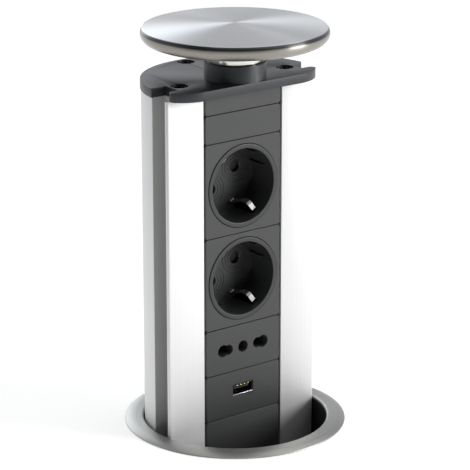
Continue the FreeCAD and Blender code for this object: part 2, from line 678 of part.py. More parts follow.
def makeThreePin():
    face = faceBody("three_pin_plate", "-slimHalf", "slimHalf")
    well = centredBox("2 * wellHalf", "faceThick - fitGap", "wellBack - faceThick + fitGap",
                      "-wellTall", "2 * wellTall")
    holes = [pinWell("centreHole", "0")]
    contacts = [fork("earth_fork", "-forkLong / 2", "forkLong", "slimForkStart", "slimFork")]
    for side in sides:
        holes.append(pinWell("largeHole", f"{side}outerPin"))
        holes.append(pinWell("smallHole", f"{side}innerPin"))
    for left in ("sideForkStart", "-sideForkStart - sideForkLong"):
        contacts.append(fork("side_fork", left, "sideForkLong", "slimForkStart", "slimFork"))
    keep(seat(cut(fuse([face, well]), holes), "threeMiddle"), "three_pin_face")
    keep(seat(gather(contacts), "threeMiddle"), "three_pin_contacts")

    slide = newBody("three_pin_shutter")
    section = newSketch(slide, "XZ_Plane", "-slideStart - slideThick")
    right = [
        ("slideHalf", "-slideFoot - slideBridge"), ("slideHalf", "largeHole"),
        ("slideInner", "largeHole"), ("slideInner", "-slideFoot"),
    ]
    outline(section, right + mirrored(right))
    pad(slide, section, "slideThick")
    keep(seat(slide, "threeMiddle"), "three_pin_shutter")

    carrier = centredBox("2 * slideHalf", "slimForkEnd", "slimDeep - slimForkEnd", "-carrierSide",
                         "2 * carrierSide")
    base = fuse([moduleBase("slimHalf", "slimWall", "slimDeep"), carrier])
    keep(seat(base, "threeMiddle"), "three_pin_base")


def makeChargingPort():
    face = faceBody("charging_plate", "-slimHalf", "slimHalf")
    opening = centredBox("portWide", "-margin", "faceThick + 2 * margin", "portRaise - portTall / 2",
                         "portTall")
    keep(seat(cut(face, [opening]), "usbMiddle"), "charging_face")
    outer = centredBox("shellWide", "shellSet", "shellLong", "shellFloor", "shellTall")
    inner = centredBox("shellWide - 2 * shellWall", "shellSet - margin", "shellLong + margin - shellWall",
                       "shellFloor + shellWall", "shellTall - 2 * shellWall")
    keep(seat(cut(outer, [inner]), "usbMiddle"), "port_shell")
    tongue = newBody("port_tongue")
    section = newSketch(tongue, "XY_Plane", "tongueFloor")
    right = [
        ("tongueWide / 2 - tongueCorner", "tongueSet"), ("tongueWide / 2", "tongueSet + tongueCorner"),
        ("tongueWide / 2", "shellSet + shellLong - shellWall"),
    ]
    outline(section, right + mirrored(right))
    pad(tongue, section, "tongueThick")
    keep(seat(tongue, "usbMiddle"), "port_tongue")
    strips = [box((f"{step} * contactPitch - contactWide / 2", "tongueSet + tongueCorner",
                   "tongueFloor - contactThick"),
                  ("contactWide", "shellLong - tongueSet - tongueCorner", "contactThick"))
              for step in ("-1.5", "-0.5", "0.5", "1.5")]
    keep(seat(gather(strips), "usbMiddle"), "port_contacts")
    makeCharger()
    keep(seat(moduleBase("slimHalf", "slimWall", "slimDeep"), "usbMiddle"), "charging_base")


def makeCharger():
    # The board that the port stands on, with its transformer and two capacitors
    board = newBody("charger_board")
    section = newSketch(board, "XY_Plane", "shellFloor - boardThick")
    edge = "slimSide - fitGap"
    right = [
        (edge, "boardFront"), (edge, "boardBack - boardNotch"),
        (f"{edge} - boardNotch", "boardBack - boardNotch"), (f"{edge} - boardNotch", "boardBack"),
    ]
    outline(section, right + mirrored(right))
    pad(board, section, "boardThick")
    keep(seat(board, "usbMiddle"), "charger_board")
    core = centredBox("coilWide", "coilSet", "coilDeep", "shellFloor + coilRim", "coilTall - 2 * coilRim")
    winding = centredBox("coilWide - 2 * coilRim", "coilSet - coilRim", "coilDeep + 2 * coilRim",
                         "shellFloor", "coilTall")
    keep(seat(fuse([core, winding]), "usbMiddle"), "charger_transformer")
    stores = [box((f"{side}storeSide - storeWide / 2", "storeBack", "shellFloor"),
                  ("storeWide", "storeDeep", "storeTall")) for side in sides]
    keep(seat(gather(stores), "usbMiddle"), "charger_capacitors")


def makeTerminalBlock():
    block = centredBox("blockWide", "faceThick", "blockDeep", "blockBottom", "blockTall")
    funnels = [box((f"{step} * funnelPitch - funnelWide / 2", "faceThick + (blockDeep - funnelWide) / 2",
                    "blockBottom - margin"), ("funnelWide", "funnelWide", "blockTall + 2 * margin"))
               for step in ("-1", "0", "1")]
    keep(seat(cut(block, funnels)), "terminal_block")


makeRing()
makeSleeve()
makeGlide("left_glide", "-")
makeGlide("right_glide", "")
makeClamp()
makeColumn()
makeTopPlate()
makeScrews()
makeLid()
makeEndPlate()
makeBlanks()
makeEarthedSocket("upper", "upperMiddle")
makeEarthedSocket("lower", "lowerMiddle")
makeThreePin()
makeChargingPort()
makeTerminalBlock()
doc.recompute()

for item in doc.Objects:
    if "Invalid" in item.State or "Error" in item.State:
        raise RuntimeError(f"{item.Label} was not built: {item.State}")
os.makedirs("parts", exist_ok=True)
for item in pieces:
    if item.Shape.isNull() or not item.Shape.isValid() or not item.Shape.Solids:
        raise RuntimeError(f"{item.Label} has no valid solid")
    item.Shape.exportStep(f"parts/{item.Label}.step")
print(len(pieces), "sub-parts written")
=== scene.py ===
import bpy
import bmesh
import json
import math
from mathutils import Matrix, Vector


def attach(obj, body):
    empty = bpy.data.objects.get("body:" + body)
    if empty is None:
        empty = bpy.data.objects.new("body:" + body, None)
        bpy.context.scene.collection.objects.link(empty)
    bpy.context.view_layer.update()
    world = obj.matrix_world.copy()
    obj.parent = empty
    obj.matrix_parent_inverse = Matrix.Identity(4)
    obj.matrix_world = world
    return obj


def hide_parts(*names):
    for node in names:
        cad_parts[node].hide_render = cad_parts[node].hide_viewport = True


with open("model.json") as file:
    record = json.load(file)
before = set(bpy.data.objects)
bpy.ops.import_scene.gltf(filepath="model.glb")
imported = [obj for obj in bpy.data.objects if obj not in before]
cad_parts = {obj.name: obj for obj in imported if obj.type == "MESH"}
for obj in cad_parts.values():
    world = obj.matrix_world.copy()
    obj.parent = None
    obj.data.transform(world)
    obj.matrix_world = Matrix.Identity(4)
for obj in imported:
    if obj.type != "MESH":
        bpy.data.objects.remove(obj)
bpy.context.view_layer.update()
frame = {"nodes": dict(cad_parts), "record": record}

nodes = frame["nodes"]
bodyOf = {}
for bodyName, members in frame["record"]["behaviour"]["bodies"].items():
    for member in members:
        bodyOf[member] = bodyName
mm = 0.001
sides = (-1, 1)
past = 1.0              # how far a cutting shape runs past a surface
panelFront = -6.9       # the modules' front face, along Y
socketMiddles = {"upper": 129.0, "lower": 79.0}
pinTurn = math.radians(33)

# Points closer than these are joined. CAD facets that bend by less than the last, in degrees, are one face
weld = {"turned": 0.0005, "carved": 0.001, "copied": 0.002, "facets": 0.4}
# A face is shaded flat if it is wide for its outline and little of that outline bends by these degrees
shading = {"wide": 0.4, "share": 0.45, "bends": (1, 20)}


# Shapes. Everything is drawn in millimetres and scaled at the end

def movedShape(bm, x=0.0, y=0.0, z=0.0):
    bmesh.ops.translate(bm, verts=list(bm.verts), vec=(x, y, z))
    return bm


def rotatedShape(bm, angle, axis):
    bmesh.ops.rotate(bm, verts=list(bm.verts), cent=(0, 0, 0), matrix=Matrix.Rotation(angle, 3, axis))
    return bm


def roundCorner(bm, vert, radius):
    bmesh.ops.bevel(bm, geom=[vert], offset=radius, segments=4, profile=0.5, affect="VERTICES",
                    clamp_overlap=True, material=-1)


def turnedShape(points, axis="Z", steps=128, rounds=None):
    # Points are (radius, height). rounds gives a corner number its radius
    bm = bmesh.new()
    verts = [bm.verts.new((radius, 0, height)) for radius, height in points]
    bm.faces.new(verts)
    for corner, radius in (rounds or {}).items():
        roundCorner(bm, verts[corner], radius)
    bmesh.ops.delete(bm, geom=list(bm.faces), context="FACES_ONLY")
    onAxis = [edge for edge in bm.edges if all(abs(vert.co.x) < weld["turned"] for vert in edge.verts)]
    bmesh.ops.delete(bm, geom=onAxis, context="EDGES")
    bmesh.ops.spin(bm, geom=list(bm.verts) + list(bm.edges), cent=(0, 0, 0), axis=(0, 0, 1),
                   dvec=(0, 0, 0), angle=math.tau, steps=steps, use_merge=True, use_duplicate=False)
    bmesh.ops.remove_doubles(bm, verts=list(bm.verts), dist=weld["turned"])
    bmesh.ops.recalc_face_normals(bm, faces=list(bm.faces))
    if axis == "Y":     # height runs into the tower
        rotatedShape(bm, -math.pi / 2, "X")
    return bm


def roundBar(radius, low, high, axis="Z", steps=64, rounding=0.0):
    rounds = {1: rounding, 2: rounding} if rounding else None
    return turnedShape([(0, low), (radius, low), (radius, high), (0, high)], axis, steps, rounds)


def blockShape(low, high):
    bm = bmesh.new()
    bmesh.ops.create_cube(bm, size=1.0)
    size = Vector(high) - Vector(low)
    bmesh.ops.scale(bm, verts=list(bm.verts), vec=size)
    bmesh.ops.translate(bm, verts=list(bm.verts), vec=(Vector(high) + Vector(low)) / 2)
    return bm


def raisedShape(bm, height):
    # A flat shape drawn up into a solid
    grown = bmesh.ops.extrude_face_region(bm, geom=list(bm.faces))
    tops = [item for item in grown["geom"] if isinstance(item, bmesh.types.BMVert)]
    bmesh.ops.translate(bm, verts=tops, vec=(0, 0, height))
    bmesh.ops.recalc_face_normals(bm, faces=list(bm.faces))
    return bm


def outlineShape(corners, low, high):
    bm = bmesh.new()
    bm.faces.new([bm.verts.new((x, y, low)) for x, y in corners])
    return raisedShape(bm, high - low)


def turnToPanel(bm, turn, middle):
    # A shape drawn about the module's own middle, turned in the panel and put in its place
    rotatedShape(bm, -turn, "Y")
    return movedShape(bm, 0, panelFront, middle)


def softEdges(bm, width, segments=2, sharpAbove=30):
    sharp = math.radians(sharpAbove)
    edges = [edge for edge in bm.edges if edge.is_manifold and edge.calc_face_angle() > sharp]
    bmesh.ops.bevel(bm, geom=edges, offset=width, segments=segments, profile=0.5, affect="EDGES",
                    clamp_overlap=True, material=-1)
    return bm


def newObject(bm, name):
    mesh = bpy.data.meshes.new(name)
    bm.to_mesh(mesh)
    bm.free()
    made = bpy.data.objects.new(name, mesh)
    bpy.context.scene.collection.objects.link(made)
    return made


def carvedShape(bm, tools, operation="DIFFERENCE"):
    base = newObject(bm, "tool")
    cutters = [newObject(tool, "tool") for tool in tools]
    for cutter in cutters:
        carving = base.modifiers.new("carving", "BOOLEAN")
        carving.operation = operation
        carving.solver = "EXACT"
        carving.object = cutter
    graph = bpy.context.evaluated_depsgraph_get()
    result = bpy.data.meshes.new_from_object(base.evaluated_get(graph))
    done = bmesh.new()
    done.from_mesh(result)
    for item in [base] + cutters:
        mesh = item.data
        bpy.data.objects.remove(item)
        bpy.data.meshes.remove(mesh)
    bpy.data.meshes.remove(result)
    bmesh.ops.remove_doubles(done, verts=list(done.verts), dist=weld["carved"])
    return done


def joinedShape(shapes):
    bm = shapes[0]
    for shape in shapes[1:]:
        mesh = bpy.data.meshes.new("joined")
        shape.to_mesh(mesh)
        shape.free()
        bm.from_mesh(mesh)
        bpy.data.meshes.remove(mesh)
    return bm


def copiedNode(name):
    # A CAD node as a clean closed mesh in millimetres
    bm = bmesh.new()
    bm.from_mesh(nodes[name].data)
    bmesh.ops.transform(bm, matrix=nodes[name].matrix_world, verts=list(bm.verts))
    bmesh.ops.scale(bm, verts=list(bm.verts), vec=(1 / mm, 1 / mm, 1 / mm))
    bmesh.ops.remove_doubles(bm, verts=list(bm.verts), dist=weld["copied"])
    bmesh.ops.dissolve_limit(bm, angle_limit=math.radians(weld["facets"]), use_dissolve_boundaries=False,
                             verts=list(bm.verts), edges=list(bm.edges), delimit={"NORMAL"})
    return bm


def finishPiece(bm, name, material, node, smoothBelow=32):
    # Into metres, smooth where the surface is meant to be, and on the body of its CAD node
    bmesh.ops.scale(bm, verts=list(bm.verts), vec=(mm, mm, mm))
    least, most = [math.radians(bend) for bend in shading["bends"]]
    for face in bm.faces:
        around = sum(edge.calc_length() for edge in face.edges)
        curved = sum(edge.calc_length() for edge in face.edges
                     if edge.is_manifold and least < edge.calc_face_angle() < most)
        wide = face.calc_area() > shading["wide"] * mm * around
        face.smooth = not wide or curved > shading["share"] * around
    for edge in bm.edges:
        edge.smooth = edge.is_manifold and edge.calc_face_angle() < math.radians(smoothBelow)
    piece = newObject(bm, name)
    piece.data.materials.append(material)
    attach(piece, bodyOf[node])
    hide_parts(node)


def softNode(node, material, width, segments=2, tools=(), name=None):
    # A CAD node with soft edges, carved first where the photo shows more
    bm = copiedNode(node)
    if tools:
        bm = carvedShape(bm, tools)
    softEdges(bm, width, segments)
    finishPiece(bm, name or node + "_part", material, node, smoothBelow=48)


# Finishes. The grain is noise: the span is the part of its range that is used, the depth is in metres

grain = {"span": (0.3, 0.7), "depth": 0.0002, "around": 0.6, "brushedBump": 0.04, "mouldedBump": 0.12}


def newFinish(name, colour, metallic, roughness, **settings):
    material = bpy.data.materials.new(name)
    material.use_nodes = True
    tree = material.node_tree
    shader = tree.nodes["Principled BSDF"]
    shader.inputs["Base Color"].default_value = (*colour, 1)
    shader.inputs["Metallic"].default_value = metallic
    shader.inputs["Roughness"].default_value = roughness
    for socket, value in settings.items():
        shader.inputs[socket.replace("_", " ")].default_value = value
    return material, tree, shader


def addNode(tree, kind, links=(), **settings):
    # A setting is a property of the node or, with _ for a space, the value of a socket
    node = tree.nodes.new(kind)
    for key, value in settings.items():
        if hasattr(node, key):
            setattr(node, key, value)
        else:
            node.inputs[key.replace("_", " ")].default_value = value
    for socket, source in links:
        tree.links.new(source, node.inputs[socket])
    return node


def addRange(tree, value, span, result=(0, 1), **settings):
    return addNode(tree, "ShaderNodeMapRange", [("Value", value)], From_Min=span[0], From_Max=span[1],
                   To_Min=result[0], To_Max=result[1], **settings)


def multiplied(tree, value, factor):
    node = addNode(tree, "ShaderNodeMath", [(0, value)], operation="MULTIPLY")
    node.inputs[1].default_value = factor
    return node.outputs["Value"]


def objectAxes(tree):
    place = addNode(tree, "ShaderNodeTexCoord")
    return addNode(tree, "ShaderNodeSeparateXYZ", [("Vector", place.outputs["Object"])]).outputs


def objectPlace(tree, stretch=(1, 1, 1)):
    # Object coordinates. Marks are long along the axis that is stretched least
    place = addNode(tree, "ShaderNodeTexCoord")
    scaled = addNode(tree, "ShaderNodeMapping", [("Vector", place.outputs["Object"])], Scale=stretch)
    return scaled.outputs["Vector"]


def ringPlace(tree, across):
    # Coordinates that run with the radius, for marks left by turning
    axes = objectAxes(tree)
    flat = addNode(tree, "ShaderNodeCombineXYZ", [("X", axes["X"]), ("Y", axes["Y"])])
    radius = addNode(tree, "ShaderNodeVectorMath", [(0, flat.outputs["Vector"])], operation="LENGTH")
    angle = addNode(tree, "ShaderNodeMath", [(0, axes["Y"]), (1, axes["X"])], operation="ARCTAN2")
    joined = addNode(tree, "ShaderNodeCombineXYZ", [
        ("X", multiplied(tree, radius.outputs["Value"], across)),
        ("Y", multiplied(tree, angle.outputs["Value"], grain["around"])),
        ("Z", multiplied(tree, axes["Z"], across))])
    return joined.outputs["Vector"]


def addGrain(tree, shader, place, rough, tint, detail, bump, scale=1.0):
    # Fine marks: they vary the roughness and the height, and a little of the colour
    noise = addNode(tree, "ShaderNodeTexNoise", [("Vector", place)], Scale=scale, Detail=detail)
    spread = addRange(tree, noise.outputs["Fac"], grain["span"], rough)
    tree.links.new(spread.outputs["Result"], shader.inputs["Roughness"])
    height = addNode(tree, "ShaderNodeBump", [("Height", noise.outputs["Fac"])], Strength=bump,
                     Distance=grain["depth"])
    tree.links.new(height.outputs["Normal"], shader.inputs["Normal"])
    shade = addNode(tree, "ShaderNodeValToRGB", [("Fac", noise.outputs["Fac"])])
    for element, position, colour in zip(shade.color_ramp.elements, grain["span"], tint):
        element.position = position
        element.color = (*colour, 1)
    tree.links.new(shade.outputs["Color"], shader.inputs["Base Color"])


def brushedRound(name, dark, light, rough, across, anisotropy, bump):
    # Metal brushed round its own axis. The quarter turn makes its highlights run out from the middle
    material, tree, shader = newFinish(name, light, 1.0, rough[0], Anisotropic=anisotropy,
                                       Anisotropic_Rotation=0.25)
    tangent = addNode(tree, "ShaderNodeTangent", direction_type="RADIAL", axis="Z")
    tree.links.new(tangent.outputs["Tangent"], shader.inputs["Tangent"])
    addGrain(tree, shader, ringPlace(tree, across), rough, (dark, light), detail=3.0, bump=bump)
    return material


def brushedLong(name, dark, light, rough, stretch, metallic):
    # Metal with a straight grain. Anodising makes it partly matt
    material, tree, shader = newFinish(name, light, metallic, rough[0])
    addGrain(tree, shader, objectPlace(tree, stretch), rough, (dark, light), detail=5.0,
             bump=grain["brushedBump"])
    return material


def mouldedPlastic(name, dark, light, rough, scale):
    material, tree, shader = newFinish(name, light, 0.0, rough[0])
    addGrain(tree, shader, objectPlace(tree), rough, (dark, light), detail=3.0,
             bump=grain["mouldedBump"], scale=scale)
    return material


def shadeAlong(material, axis, bands):
    # Bands are (place in mm, tone), for painted reflection and painted shade that change along one axis of
    # the piece
    tree = material.node_tree
    shader = tree.nodes["Principled BSDF"]
    source = shader.inputs["Base Color"].links[0].from_socket
    low, high = bands[0][0] * mm, bands[-1][0] * mm
    spread = addRange(tree, objectAxes(tree)[axis], (low, high))
    tones = addNode(tree, "ShaderNodeValToRGB", [("Fac", spread.outputs["Result"])])
    elements = tones.color_ramp.elements
    elements[0].color = (*bands[0][1], 1)
    elements[1].color = (*bands[-1][1], 1)
    for spot, tone in bands[1:-1]:
        elements.new((spot * mm - low) / (high - low)).color = (*tone, 1)
    blend = addNode(tree, "ShaderNodeMix", data_type="RGBA", blend_type="MULTIPLY")
    blend.inputs["Factor"].default_value = 1.0
    tree.links.new(source, blend.inputs["A"])
    tree.links.new(tones.outputs["Color"], blend.inputs["B"])
    tree.links.new(blend.outputs["Result"], shader.inputs["Base Color"])


# Name, dark tone, light tone, least and most roughness, grain across, anisotropy, bump
turnedMetals = {
    "ring": ("ring_steel", (0.40, 0.395, 0.38), (0.47, 0.465, 0.45), (0.38, 0.46), 2600, 0.5, 0.02),
    "lid": ("lid_steel", (0.655, 0.66, 0.665), (0.675, 0.68, 0.685), (0.30, 0.34), 1500, 0.85, 0.005),
    "hub": ("bright_metal", (0.62, 0.60, 0.57), (0.74, 0.72, 0.69), (0.14, 0.20), 2000, 0.3, 0.02),
}
# Name, dark tone, light tone, least and most roughness, stretch of the grain, metallic share
metals = {
    "column": ("anodised", (0.80, 0.80, 0.80), (0.86, 0.86, 0.855), (0.48, 0.56), (3000, 3000, 7), 0.25),
    "spring": ("spring_steel", (0.45, 0.45, 0.46), (0.58, 0.58, 0.6), (0.25, 0.35), (900, 900, 90), 1),
    "zinc": ("zinc_steel", (0.42, 0.42, 0.43), (0.60, 0.60, 0.60), (0.32, 0.5), (300, 300, 300), 1),
    "strap": ("plated_strip", (0.46, 0.455, 0.45), (0.58, 0.575, 0.57), (0.30, 0.40), (900, 900, 200), 1),
    "brass": ("contact_brass", (0.62, 0.46, 0.20), (0.78, 0.60, 0.28), (0.25, 0.38), (500, 500, 500), 1),
    "gold": ("gold_strip", (0.83, 0.60, 0.24), (0.95, 0.74, 0.34), (0.18, 0.25), (900, 900, 900), 1),
    "shell": ("port_metal", (0.70, 0.70, 0.71), (0.85, 0.85, 0.86), (0.16, 0.24), (1200, 90, 1200), 1),
    # The port metal again, darkened as painted shade for the shell's top and sides
    "paintedShadeShell": ("port_metal_dark", (0.07, 0.07, 0.07), (0.11, 0.11, 0.11), (0.3, 0.4), (1200, 90, 1200), 1),
    "can": ("can_metal", (0.55, 0.55, 0.57), (0.68, 0.68, 0.70), (0.28, 0.4), (200, 200, 200), 1),
}
# Name, dark tone, light tone, least and most roughness, scale of the grain
plastics = {
    "panel": ("panel_plastic", (0.040, 0.041, 0.042), (0.052, 0.053, 0.054), (0.40, 0.52), 2600),
    "insert": ("insert_plastic", (0.026, 0.027, 0.028), (0.034, 0.035, 0.036), (0.26, 0.36), 2600),
    "plate": ("plate_plastic", (0.018, 0.020, 0.024), (0.026, 0.029, 0.034), (0.34, 0.44), 2600),
    "neck": ("neck_plastic", (0.014, 0.014, 0.015), (0.022, 0.022, 0.023), (0.38, 0.48), 2600),
    "screw": ("black_screw", (0.008, 0.008, 0.009), (0.016, 0.016, 0.017), (0.35, 0.5), 900),
    "sleeve": ("sleeve_plastic", (0.014, 0.014, 0.015), (0.022, 0.022, 0.023), (0.42, 0.55), 900),
    "nut": ("nut_plastic", (0.016, 0.016, 0.017), (0.026, 0.026, 0.027), (0.42, 0.55), 900),
    "slide": ("slide_plastic", (0.66, 0.65, 0.60), (0.76, 0.75, 0.71), (0.35, 0.45), 700),
    "base": ("base_plastic", (0.020, 0.020, 0.021), (0.030, 0.030, 0.031), (0.45, 0.6), 700),
    "shutter": ("shutter_plastic", (0.016, 0.016, 0.017), (0.024, 0.024, 0.025), (0.3, 0.4), 900),
    "tongue": ("tongue_plastic", (0.010, 0.010, 0.011), (0.016, 0.016, 0.017), (0.25, 0.35), 900),
    "board": ("board_laminate", (0.012, 0.075, 0.032), (0.02, 0.11, 0.05), (0.2, 0.35), 260),
    "coil": ("coil_plastic", (0.55, 0.40, 0.06), (0.68, 0.52, 0.10), (0.3, 0.4), 400),
    "block": ("block_plastic", (0.68, 0.67, 0.62), (0.78, 0.77, 0.73), (0.3, 0.4), 500),
}

# Painted reflection by height on the lid's flank and its dark top edge, and painted shade by depth in the
# column's grooves
full = (1, 1, 1)
# The flank tone is a painted reflection of the floor, and the dark band under the top edge a painted
# reflection of the dark room
flank = (0.46, 0.43, 0.39)
# The darker tone across the column's grooves is painted shade
grooveShade = (0.66, 0.66, 0.66)
lidReflectionBands = [(204.0, flank), (208.6, flank), (209.3, (0.10, 0.097, 0.093)), (210.5, (0.14, 0.14, 0.14)),
            (210.9, full)]
grooveShadeBands = [(-6.2, full), (-5.4, full), (-5.0, grooveShade), (5.9, grooveShade), (6.3, full), (7.0, full)]

finishes = {}
for makeFinish, looks in ((brushedRound, turnedMetals), (brushedLong, metals), (mouldedPlastic, plastics)):
    for key, look in looks.items():
        finishes[key] = makeFinish(*look)
shadeAlong(finishes["lid"], "Z", lidReflectionBands)
shadeAlong(finishes["column"], "Y", grooveShadeBands)
print("finishes made:", len(finishes))


# Ring in the worktop, and the sleeve and nut below it

# slope, crown and lip are a step from the outside or the bore and a drop from the top. rounds are by corner
ring = {"bore": 48.5, "outside": 58.2, "top": 2.1, "edge": 0.55, "step": 50.85, "seat": 0.35,
        "slope": (1.6, 0.75), "crown": (4.4, 0.05), "lip": (0.6, -0.05), "boreTop": 0.6,
        "rounds": {4: 0.3, 5: 1.2, 6: 1.5, 7: 0.5}}
# groove holds shares of the thread's pitch: where its floor starts and ends, and the next crest
sleeve = {"bore": 48.5, "outside": 50.75, "rim": 0.3, "root": 50.35, "deep": 66.0, "threadTop": -24.0,
          "pitch": 3.0, "groove": (0.3, 0.5, 0.8)}
rail = {"inner": 40.05, "bite": 0.3, "front": -4.45, "back": 5.35, "top": -4.2, "edge": 0.3}
pocket = {"inner": 39, "outer": 43.75, "front": -2.85, "back": 3.75, "low": -53, "high": -13}
nut = {"bore": 51.15, "outside": 59.6, "low": -45.1, "high": -30.1, "flutes": 24, "fluteDeep": 1.1,
       "steps": 288, "edge": 0.5, "sharp": 60}


def makeRing():
    # A wide flat rim that slopes down at its outside
    points = [(ring["bore"], ring["seat"]), (ring["step"], ring["seat"]), (ring["step"], 0),
              (ring["outside"], 0), (ring["outside"], ring["edge"])]
    for inset, drop in (ring["slope"], ring["crown"]):
        points.append((ring["outside"] - inset, ring["top"] - drop))
    points += [(ring["bore"] + ring["lip"][0], ring["top"] - ring["lip"][1]),
               (ring["bore"], ring["top"] - ring["boreTop"])]
    shape = turnedShape(points, steps=192, rounds=ring["rounds"])
    finishPiece(shape, "ring_turned", finishes["ring"], "trim_ring", smoothBelow=40)


def makeRail(side):
    inner, outer = side * rail["inner"], side * (sleeve["bore"] + rail["bite"])
    corners = [(inner, rail["front"]), (outer, rail["front"]), (outer, rail["back"]), (inner, rail["back"])]
    bar = outlineShape(corners, -sleeve["deep"], rail["top"])
    near, far = sorted((side * pocket["inner"], side * pocket["outer"]))
    hollow = blockShape((near, pocket["front"], pocket["low"]), (far, pocket["back"], pocket["high"]))
    return softEdges(carvedShape(bar, [hollow]), rail["edge"])


def makeSleeve():
    # The thread is drawn as close rings. A rail at each side has a pocket for its brake pad
    points = [(sleeve["bore"], sleeve["rim"]), (sleeve["outside"], sleeve["rim"]),
              (sleeve["outside"], sleeve["threadTop"])]
    height = sleeve["threadTop"]
    pitch = sleeve["pitch"]
    floorStart, floorEnd, crest = sleeve["groove"]
    while height > 2 * pitch - sleeve["deep"]:
        points += [(sleeve["root"], height - floorStart * pitch), (sleeve["root"], height - floorEnd * pitch),
                   (sleeve["outside"], height - crest * pitch), (sleeve["outside"], height - pitch)]
        height -= pitch
    points += [(sleeve["outside"], -sleeve["deep"]), (sleeve["bore"], -sleeve["deep"])]
    shape = turnedShape(points, steps=160)
    rails = [makeRail(side) for side in sides]
    finishPiece(joinedShape([shape] + rails), "sleeve_threaded", finishes["sleeve"], "guide_sleeve")


def makeNut():
    # A ring with flutes round its outside
    bm = bmesh.new()
    made = bmesh.ops.create_circle(bm, cap_ends=False, segments=nut["steps"], radius=nut["outside"])
    for vert in made["verts"]:
        angle = math.atan2(vert.co.y, vert.co.x)
        dip = max(0.0, math.cos(nut["flutes"] * angle)) ** 2 * nut["fluteDeep"]
        vert.co *= (nut["outside"] - dip) / nut["outside"]
    outer = list(bm.edges)
    bmesh.ops.create_circle(bm, cap_ends=False, segments=nut["steps"], radius=nut["bore"])
    inner = [edge for edge in bm.edges if edge not in outer]
    bmesh.ops.bridge_loops(bm, edges=outer + inner)
    movedShape(bm, z=nut["low"])
    raisedShape(bm, nut["high"] - nut["low"])
    softEdges(bm, nut["edge"], sharpAbove=nut["sharp"])
    finishPiece(bm, "nut_fluted", finishes["nut"], "clamp_nut", smoothBelow=45)


makeRing()
makeSleeve()
makeNut()
softNode("thrust_washer", finishes["zinc"], width=0.25)
print("ring, sleeve and nut made")


# Lid with its bright hub

# flank holds steps in from the edge and up from the rim, bulge a share of the top edge and a drop
lid = {"edge": 48.1, "topEdge": 46.9, "rim": 208.8, "shoulder": 210.9, "apex": 213.0,
       "under": 202.9, "underEdge": 43.4, "hollow": 42.4, "ceiling": 209.1,
       "flank": ((0.5, -4.0), (0.0, -0.3), (0.45, 1.0)), "bulge": (0.62, 0.75),
       "rounds": {3: 0.9, 4: 2.6, 5: 0.9, 6: 0.6, 7: 0.18, 8: 9.0}}
hub = {"radius": 14.15, "low": 193.3, "high": 203.2, "bore": 2.6, "rounds": {1: 0.5, 2: 0.3}}


def makeLid():
    # A shallow dome with a crisp top edge and a full round flank
    points = [(0, lid["ceiling"]), (lid["hollow"], lid["ceiling"]), (lid["hollow"], lid["under"]),
              (lid["underEdge"], lid["under"])]
    points += [(lid["edge"] - inset, lid["rim"] + rise) for inset, rise in lid["flank"]]
    share, drop = lid["bulge"]
    points += [(lid["topEdge"], lid["shoulder"]), (lid["topEdge"] * share, lid["apex"] - drop),
               (0, lid["apex"])]
    shape = turnedShape(points, steps=256, rounds=lid["rounds"])
    finishPiece(shape, "lid_turned", finishes["lid"], "lid", smoothBelow=26)


def makeHub():
    points = [(hub["bore"], hub["low"]), (hub["radius"], hub["low"]), (hub["radius"], hub["high"]),
              (hub["bore"], hub["high"])]
    finishPiece(turnedShape(points, rounds=hub["rounds"]), "hub_bright", finishes["hub"], "lid_hub")


makeLid()
makeHub()
softNode("lid_insert", finishes["neck"], width=0.4)
softNode("lid_bolt", finishes["zinc"], width=0.15)
print("lid made")


# Column, top plate and screws

plate = {"top": 184.7, "edge": 0.35, "sink": 2.7, "sinkRadius": 4.6, "tip": 2.6, "tipAt": 43.45,
         "tipFront": -7.8, "tipAhead": 1.2, "tipReach": 50, "tipLow": 179, "tipHigh": 186}
endFace = -70.3         # underside of the end plate
screw = {"head": 4.1, "tall": 1.9, "edge": 0.35, "drive": 2.9, "driveDeep": 1.6, "driveTall": 3, "lobes": 6,
         "lobe": 0.2, "shank": 1.7, "long": 16.0, "bite": 0.1, "end": 0.5}
screwSpots = [(0, 41.9), (33.6, 1.7), (-33.6, 1.7)]


def tipTool(side):
    # What is taken off a square front tip of the plate to make it round
    middle = side * plate["tipAt"]
    near, far = sorted((middle, side * plate["tipReach"]))
    front = plate["tipFront"] - plate["tipAhead"]
    block = blockShape((near, front, plate["tipLow"]), (far, 0, plate["tipHigh"]))
    bar = roundBar(plate["tip"], plate["tipLow"] - past, plate["tipHigh"] + past, steps=48)
    return carvedShape(block, [movedShape(bar, middle, plate["tipFront"])])


def makeTopPlate():
    seat, above = plate["top"] - plate["sink"], plate["top"] + 2 * past
    sinks = [movedShape(roundBar(plate["sinkRadius"], seat, above), x, y) for x, y in screwSpots]
    tips = [tipTool(side) for side in sides]
    bm = carvedShape(copiedNode("top_plate"), sinks + tips)
    finishPiece(softEdges(bm, plate["edge"], segments=3), "plate_moulded", finishes["plate"], "top_plate")


def screwShape(x, y, seat, up):
    # A flat head with a lobed drive and a plain shank
    head = roundBar(screw["head"], 0, screw["tall"], steps=48, rounding=screw["edge"])
    drive = bmesh.new()
    made = bmesh.ops.create_circle(drive, cap_ends=True, segments=72, radius=screw["drive"])
    for vert in made["verts"]:
        vert.co *= 1 + screw["lobe"] * math.cos(screw["lobes"] * math.atan2(vert.co.y, vert.co.x))
    raisedShape(drive, screw["driveTall"])
    movedShape(drive, z=screw["tall"] - screw["driveDeep"])
    shank = roundBar(screw["shank"], -screw["long"], screw["bite"], steps=32, rounding=screw["end"])
    shape = joinedShape([carvedShape(head, [drive]), shank])
    if not up:
        rotatedShape(shape, math.pi, "X")
    return movedShape(shape, x, y, seat)


